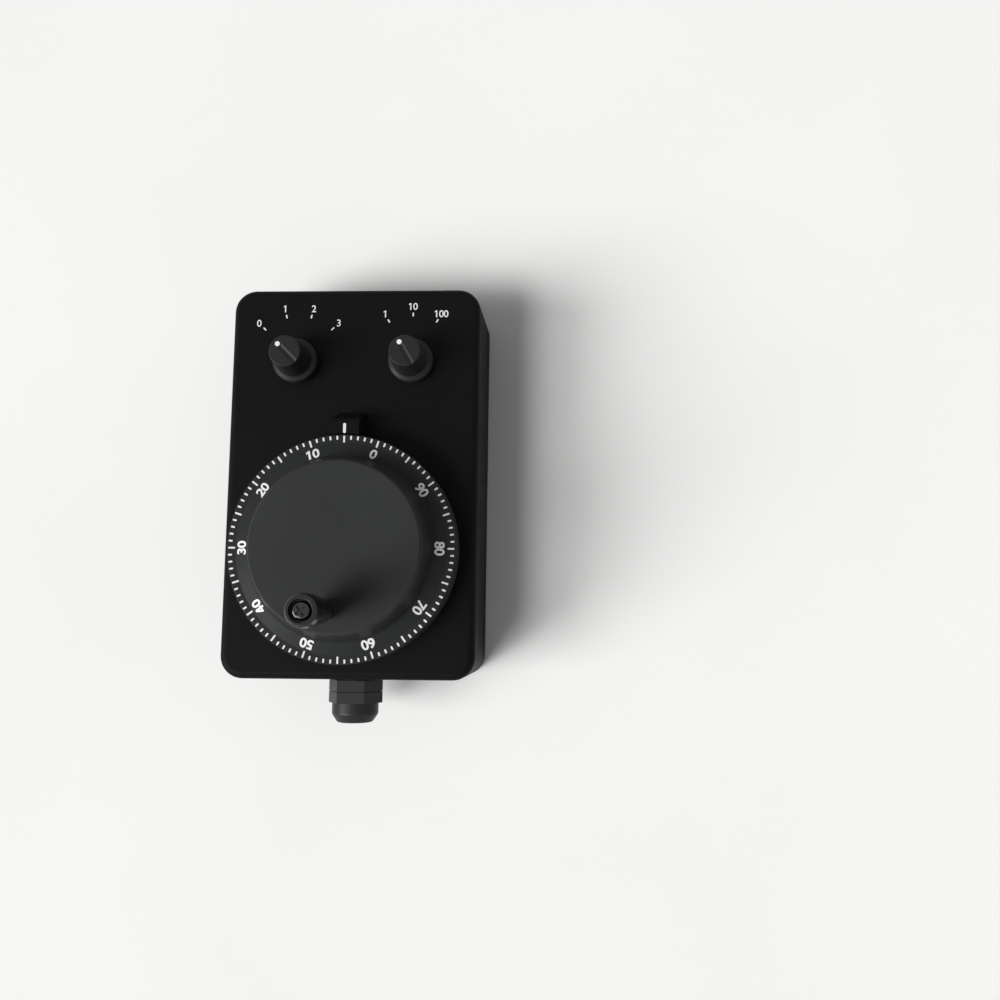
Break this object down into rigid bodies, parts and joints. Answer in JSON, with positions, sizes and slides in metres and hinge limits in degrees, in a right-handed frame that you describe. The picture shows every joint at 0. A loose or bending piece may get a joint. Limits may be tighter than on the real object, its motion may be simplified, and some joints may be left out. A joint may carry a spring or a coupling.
{
  "type": "pendant manual pulse generator",
  "caption": "Hand-held machine control with a turning scale dial and crank grip, two pointer knobs on the panel and a cable gland at one end.",
  "frame": {"origin": "centre of the case's flat rear face, on which the pendant lies", "axes": "+Z out of the panel along the dial's axis, +Y along the case from the dial to the selectors, +X to the right seen from the front"},
  "size_m": [0.09, 0.156, 0.0897],
  "materials": {
    "case_plastic": "fine moulded texture, near-black",
    "dial_finish": "satin black",
    "cap_finish": "matt charcoal",
    "grip_plastic": "smooth black",
    "knob_plastic": "satin black",
    "white_marks": "white inlay",
    "steel": "zinc-plated",
    "black_steel": "blackened, slightly glossy",
    "bearing_steel": "ground and polished",
    "magnet_steel": "etched and nickel-plated",
    "brass": "turned",
    "alloy": "die-cast and turned",
    "rubber": "soft black",
    "nylon": "moulded black",
    "circuit_board": "green solder mask",
    "ferrite": "pressed ferrite"
  },
  "bodies": {
    "root": {"front_shell": "case_plastic", "rear_cover": "case_plastic", "case_gasket": "rubber", "case_inserts": "brass", "case_screws": "black_steel", "mpg_housing": "alloy", "mpg_seal_ring": "rubber", "mpg_screws": "steel", "mpg_nuts": "steel", "bearing_outer_rings": "bearing_steel", "bearing_balls": "bearing_steel", "click_poles": "magnet_steel", "click_magnets": "ferrite", "sensor_board": "circuit_board", "photo_sensors": "nylon", "mpg_rear_cap": "nylon", "rear_cap_screws": "steel", "terminal_block": "nylon", "terminal_screws": "brass", "axis_switch": "nylon", "axis_switch_washer": "steel", "axis_switch_nut": "steel", "rate_switch": "nylon", "rate_switch_washer": "steel", "rate_switch_nut": "steel", "gland_body": "nylon", "gland_washer": "rubber", "gland_locknut": "nylon", "gland_seal": "rubber", "gland_nut": "nylon"},
    "dial": {"dial_wheel": "dial_finish", "dial_hub": "alloy", "dial_hub_screws": "steel", "dial_cap": "cap_finish", "dial_screw": "steel", "dial_washer": "steel", "main_shaft": "steel", "bearing_inner_rings": "bearing_steel", "bearing_spacer": "bearing_steel", "shaft_circlip": "steel", "click_rotor": "magnet_steel", "disc_spacer": "brass", "code_disc": "magnet_steel", "disc_nut": "brass", "crank_insert": "brass", "crank_spindle": "black_steel", "crank_washer": "steel"},
    "grip": {"crank_grip": "grip_plastic"},
    "axis_selector": {"axis_shaft": "steel", "axis_knob": "knob_plastic", "axis_knob_screw": "black_steel", "axis_knob_dot": "white_marks"},
    "rate_selector": {"rate_shaft": "steel", "rate_knob": "knob_plastic", "rate_knob_screw": "black_steel", "rate_knob_dot": "white_marks"}
  },
  "joints": [
    {"name": "dial_turn", "type": "hinge", "parent": "root", "child": "dial", "pos_m": [0, -0.025, 0.051], "axis": [0, 0, 1], "continuous": true},
    {"name": "grip_spin", "type": "hinge", "parent": "dial", "child": "grip", "pos_m": [-0.00224, -0.04628, 0.075], "axis": [0, 0, 1], "continuous": true},
    {"name": "axis_select", "type": "hinge", "parent": "root", "child": "axis_selector", "pos_m": [-0.0208, 0.0428, 0.047], "axis": [0, 0, 1], "range_deg": [-90, 0]},
    {"name": "rate_select", "type": "hinge", "parent": "root", "child": "rate_selector", "pos_m": [0.0208, 0.0428, 0.047], "axis": [0, 0, 1], "range_deg": [-60, 0]}
  ]
}
